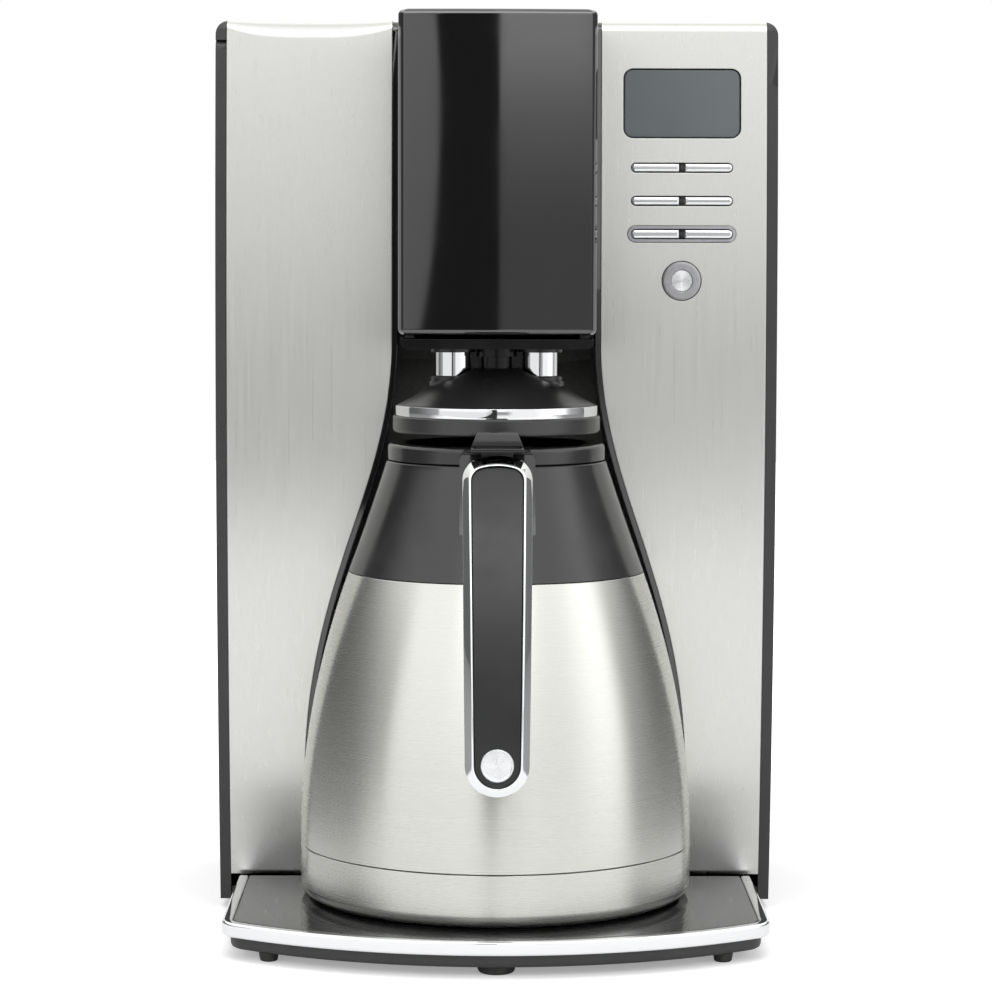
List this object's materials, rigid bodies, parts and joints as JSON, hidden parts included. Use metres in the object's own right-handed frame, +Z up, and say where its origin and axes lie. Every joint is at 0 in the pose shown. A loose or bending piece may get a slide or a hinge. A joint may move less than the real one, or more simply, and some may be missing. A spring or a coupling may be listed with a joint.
{
  "type": "drip coffee maker",
  "caption": "Two-tower drip coffee maker with steel front panels, a pull-out brew head, a drip dome, a lift-out water tank and a thermal carafe with a hanging handle.",
  "frame": {"origin": "middle of the footprint on the surface the feet stand on", "axes": "+X to the machine's right seen from the front, +Y to the back, +Z up"},
  "size_m": [0.2364, 0.272, 0.379],
  "materials": {
    "brushed_steel": "vertical brushed grain",
    "carafe_steel": "horizontal brushed grain",
    "liner_steel": "drawn steel",
    "chrome": "bright plated",
    "screw_steel": "zinc plated",
    "gloss_black": "piano gloss",
    "satin_black": "satin",
    "matte_black": "fine matt",
    "textured_black": "spark-eroded texture",
    "carafe_black": "soft matt",
    "inlay_grey": "matt",
    "matte_grey": "matt",
    "rubber": "matt",
    "aluminium": "cast",
    "hose": "silicone",
    "circuit_board": "solder mask",
    "display_lens": "tinted clear",
    "key_grey": "translucent",
    "key_silver": "satin plated",
    "smoked_plastic": "smoked clear",
    "filter_white": "matt",
    "seal_white": "silicone"
  },
  "bodies": {
    "machine": {"base_tray": "matte_black", "base_chrome_band": "chrome", "base_deck": "gloss_black", "rubber_feet": "rubber", "left_side_shell": "satin_black", "right_side_shell": "satin_black", "left_front_panel": "brushed_steel", "right_front_panel": "brushed_steel", "inner_trims": "gloss_black", "alcove_liner": "textured_black", "rear_cover": "satin_black", "rear_cover_screws": "screw_steel", "head_housing": "matte_black", "head_top_cover": "gloss_black", "head_floor": "matte_black", "chrome_columns": "chrome", "column_collars": "satin_black", "drip_dome": "satin_black", "dome_chrome_band": "chrome", "drip_spring": "screw_steel", "shower_head": "matte_grey", "riser_tube": "hose", "heater_block": "aluminium", "thermostats": "screw_steel", "inlet_hose": "hose", "tank_socket": "matte_black", "control_board": "circuit_board", "display_lens": "display_lens", "key_frame": "gloss_black", "key_surround": "key_grey", "key_switches": "matte_grey", "power_board": "circuit_board", "cord_gland": "rubber"},
    "drip_stop": {"drip_plunger": "matte_grey"},
    "drawer": {"drawer_front": "gloss_black", "basket_carrier": "matte_black", "filter_basket": "matte_grey"},
    "tank": {"water_tank": "smoked_plastic", "water_filter": "filter_white"},
    "tank_lid": {"tank_lid": "satin_black"},
    "tank_valve": {"tank_valve": "matte_grey"},
    "carafe": {"carafe_outer_shell": "carafe_steel", "carafe_base_cup": "carafe_steel", "carafe_liner": "liner_steel", "carafe_shoulder": "carafe_black", "handle_core": "satin_black", "handle_chrome_frame": "chrome", "handle_inlay": "inlay_grey", "handle_badge": "chrome", "lever_pin": "screw_steel"},
    "carafe_lid": {"carafe_lid": "carafe_black", "lid_seal": "seal_white"},
    "lid_lever": {"lid_lever": "satin_black"},
    "key_row1_left": {"key_row1_left": "key_silver"},
    "key_row1_right": {"key_row1_right": "key_silver"},
    "key_row2_left": {"key_row2_left": "key_silver"},
    "key_row2_right": {"key_row2_right": "key_silver"},
    "key_row3_left": {"key_row3_left": "key_silver"},
    "key_row3_right": {"key_row3_right": "key_silver"},
    "brew_key": {"brew_key": "key_grey"}
  },
  "joints": [
    {"name": "carafe_slide", "type": "slide", "parent": "machine", "child": "carafe", "axis": [0, -1, 0], "range_m": [0, 0.2]},
    {"name": "carafe_lid_twist", "type": "hinge", "parent": "carafe", "child": "carafe_lid", "pos_m": [0, -0.019, 0.1963], "axis": [0, 0, 1], "range_deg": [0, 60]},
    {"name": "lid_lever_press", "type": "hinge", "parent": "carafe", "child": "lid_lever", "pos_m": [0, -0.08, 0.1986], "axis": [1, 0, 0], "range_deg": [0, 5], "stiffness_Nm_per_rad": 0.1, "springref_deg": -11.46},
    {"name": "drawer_slide", "type": "slide", "parent": "machine", "child": "drawer", "axis": [0, -1, 0], "range_m": [0, 0.11]},
    {"name": "drip_stop_lift", "type": "slide", "parent": "machine", "child": "drip_stop", "axis": [0, 0, 1], "range_m": [0, 0.003], "stiffness_N_per_m": 200, "springref_m": -0.004, "deforming": ["drip_spring"]},
    {"name": "tank_lift", "type": "slide", "parent": "machine", "child": "tank", "axis": [0, 0, 1], "range_m": [0, 0.27]},
    {"name": "tank_lid_hinge", "type": "hinge", "parent": "tank", "child": "tank_lid", "pos_m": [-0.0464, 0.076, 0.377], "axis": [0, 1, 0], "range_deg": [0, 95]},
    {"name": "tank_valve_lift", "type": "slide", "parent": "tank", "child": "tank_valve", "axis": [0, 0, 1], "range_m": [0, 0.002], "stiffness_N_per_m": 150, "springref_m": -0.004},
    {"name": "key_row1_left_press", "type": "slide", "parent": "machine", "child": "key_row1_left", "axis": [0, 1, 0], "range_m": [0, 0.0008], "stiffness_N_per_m": 500, "springref_m": -0.0008},
    {"name": "key_row1_right_press", "type": "slide", "parent": "machine", "child": "key_row1_right", "axis": [0, 1, 0], "range_m": [0, 0.0008], "stiffness_N_per_m": 500, "springref_m": -0.0008},
    {"name": "key_row2_left_press", "type": "slide", "parent": "machine", "child": "key_row2_left", "axis": [0, 1, 0], "range_m": [0, 0.0008], "stiffness_N_per_m": 500, "springref_m": -0.0008},
    {"name": "key_row2_right_press", "type": "slide", "parent": "machine", "child": "key_row2_right", "axis": [0, 1, 0], "range_m": [0, 0.0008], "stiffness_N_per_m": 500, "springref_m": -0.0008},
    {"name": "key_row3_left_press", "type": "slide", "parent": "machine", "child": "key_row3_left", "axis": [0, 1, 0], "range_m": [0, 0.0008], "stiffness_N_per_m": 500, "springref_m": -0.0008},
    {"name": "key_row3_right_press", "type": "slide", "parent": "machine", "child": "key_row3_right", "axis": [0, 1, 0], "range_m": [0, 0.0008], "stiffness_N_per_m": 500, "springref_m": -0.0008},
    {"name": "brew_key_press", "type": "slide", "parent": "machine", "child": "brew_key", "axis": [0, 1, 0], "range_m": [0, 0.0008], "stiffness_N_per_m": 500, "springref_m": -0.0008}
  ]
}
